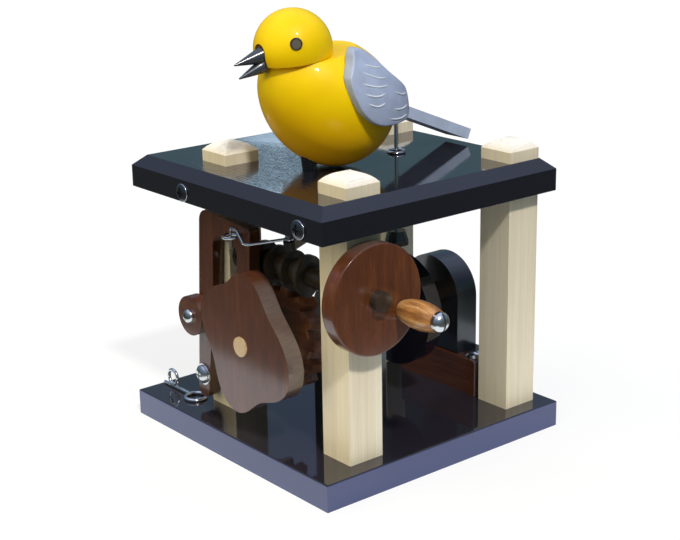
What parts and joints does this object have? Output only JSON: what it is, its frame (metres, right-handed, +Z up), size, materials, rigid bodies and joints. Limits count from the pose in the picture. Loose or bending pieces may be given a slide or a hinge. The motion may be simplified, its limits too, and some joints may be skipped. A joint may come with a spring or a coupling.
{
  "type": "wooden crank automaton",
  "caption": "Hand-cranked wooden automaton: a worm drive turns cams that swing a bird's head and lift its tail above a post-and-plate stand.",
  "frame": {"origin": "middle of the base plate's underside, in the plane it stands on", "axes": "+Z up, -Y towards the side that the bird and the star cam face, +X towards the crank disc"},
  "size_m": [0.1792, 0.146, 0.2101],
  "materials": {
    "gloss_black": "gloss black paint",
    "post_cream": "clear-coated pale wood",
    "walnut": "satin oiled walnut",
    "golden_oak": "satin varnished oak",
    "pale_dowel": "plain birch dowel",
    "bird_yellow": "gloss yellow paint",
    "feather_blue": "satin blue-grey paint",
    "beak_grey": "gloss dark grey paint",
    "eye_brown": "gloss dark brown paint",
    "black_part": "satin black paint",
    "zinc": "bright zinc plate",
    "nickel": "bright nickel wire"
  },
  "bodies": {
    "stand": {"base_plate": "gloss_black", "top_plate": "gloss_black", "front_right_post": "post_cream", "back_right_post": "post_cream", "front_left_post": "post_cream", "back_left_post": "post_cream", "edge_screws": "zinc", "base_screws": "zinc", "rear_foot": "walnut", "rear_upright": "black_part", "middle_upright": "black_part", "foot_screw": "zinc", "lever_screw": "zinc", "lever_washers": "zinc", "bird_body": "bird_yellow", "bird_stem": "black_part", "right_wing": "feather_blue", "left_wing": "feather_blue", "tail_pin": "nickel", "rod_guide": "black_part", "rod_eyelet": "nickel", "wire_hook": "nickel"},
    "crank": {"crank_shaft": "pale_dowel", "worm": "walnut", "crank_disc": "walnut", "crank_washer": "zinc", "crank_collar": "black_part", "handle_screw": "zinc"},
    "handle": {"crank_handle": "golden_oak"},
    "camshaft": {"cam_shaft": "pale_dowel", "worm_wheel": "pale_dowel", "star_cam": "walnut", "rear_cam": "walnut", "shaft_collars": "black_part"},
    "lever": {"follower_lever": "walnut", "lever_eye": "nickel", "roller_screw": "zinc", "roller_washer": "zinc"},
    "lever_roller": {"roller": "walnut"},
    "head": {"bird_head": "bird_yellow", "bird_eyes": "eye_brown", "upper_beak": "beak_grey", "lower_beak": "beak_grey", "head_rod": "nickel", "head_arm": "black_part", "arm_pin": "nickel"},
    "link": {"link_wire": "nickel"},
    "pusher": {"push_rod": "nickel", "push_rod_shoe": "black_part"},
    "bird_tail": {"tail": "feather_blue"}
  },
  "joints": [
    {"name": "crank_spin", "type": "hinge", "parent": "stand", "child": "crank", "pos_m": [0, -0.0432, 0.0912], "axis": [1, 0, 0], "continuous": true},
    {"name": "handle_spin", "type": "hinge", "parent": "crank", "child": "handle", "pos_m": [0.09, -0.02891, 0.08401], "axis": [1, 0, 0], "continuous": true},
    {"name": "camshaft_spin", "type": "hinge", "parent": "stand", "child": "camshaft", "pos_m": [0.011, 0, 0.05884], "axis": [0, 1, 0], "continuous": true},
    {"name": "lever_rock", "type": "hinge", "parent": "stand", "child": "lever", "pos_m": [-0.0356, -0.0569, 0.0295], "axis": [0, 1, 0], "range_deg": [-3.5, 4.5]},
    {"name": "roller_spin", "type": "hinge", "parent": "lever", "child": "lever_roller", "pos_m": [-0.03544, -0.0635, 0.06124], "axis": [0, 1, 0], "continuous": true},
    {"name": "head_turn", "type": "hinge", "parent": "stand", "child": "head", "pos_m": [0.0125, -0.0365, 0.1923], "axis": [0, -0.1392, 0.9903], "range_deg": [-9.3, 11.9]},
    {"name": "link_swing", "type": "hinge", "parent": "head", "child": "link", "pos_m": [0.0218, -0.0487, 0.10844], "axis": [0, -0.1392, 0.9903], "range_deg": [-7.3, 5.7]},
    {"name": "pushrod_slide", "type": "slide", "parent": "stand", "child": "pusher", "axis": [0, 0, 1], "range_m": [0, 0.005]},
    {"name": "tail_lift", "type": "hinge", "parent": "stand", "child": "bird_tail", "pos_m": [0.0125, 0.006, 0.164], "axis": [1, 0, 0], "range_deg": [0, 14.1]}
  ],
  "couplings": [
    {"joint": "camshaft_spin", "follows": "crank_spin", "ratio": -0.071429},
    {"joint": "head_turn", "follows": "lever_rock", "ratio": 2.621},
    {"joint": "link_swing", "follows": "lever_rock", "ratio": -1.597},
    {"joint": "tail_lift", "follows": "pushrod_slide", "rad_per_m": 49}
  ]
}
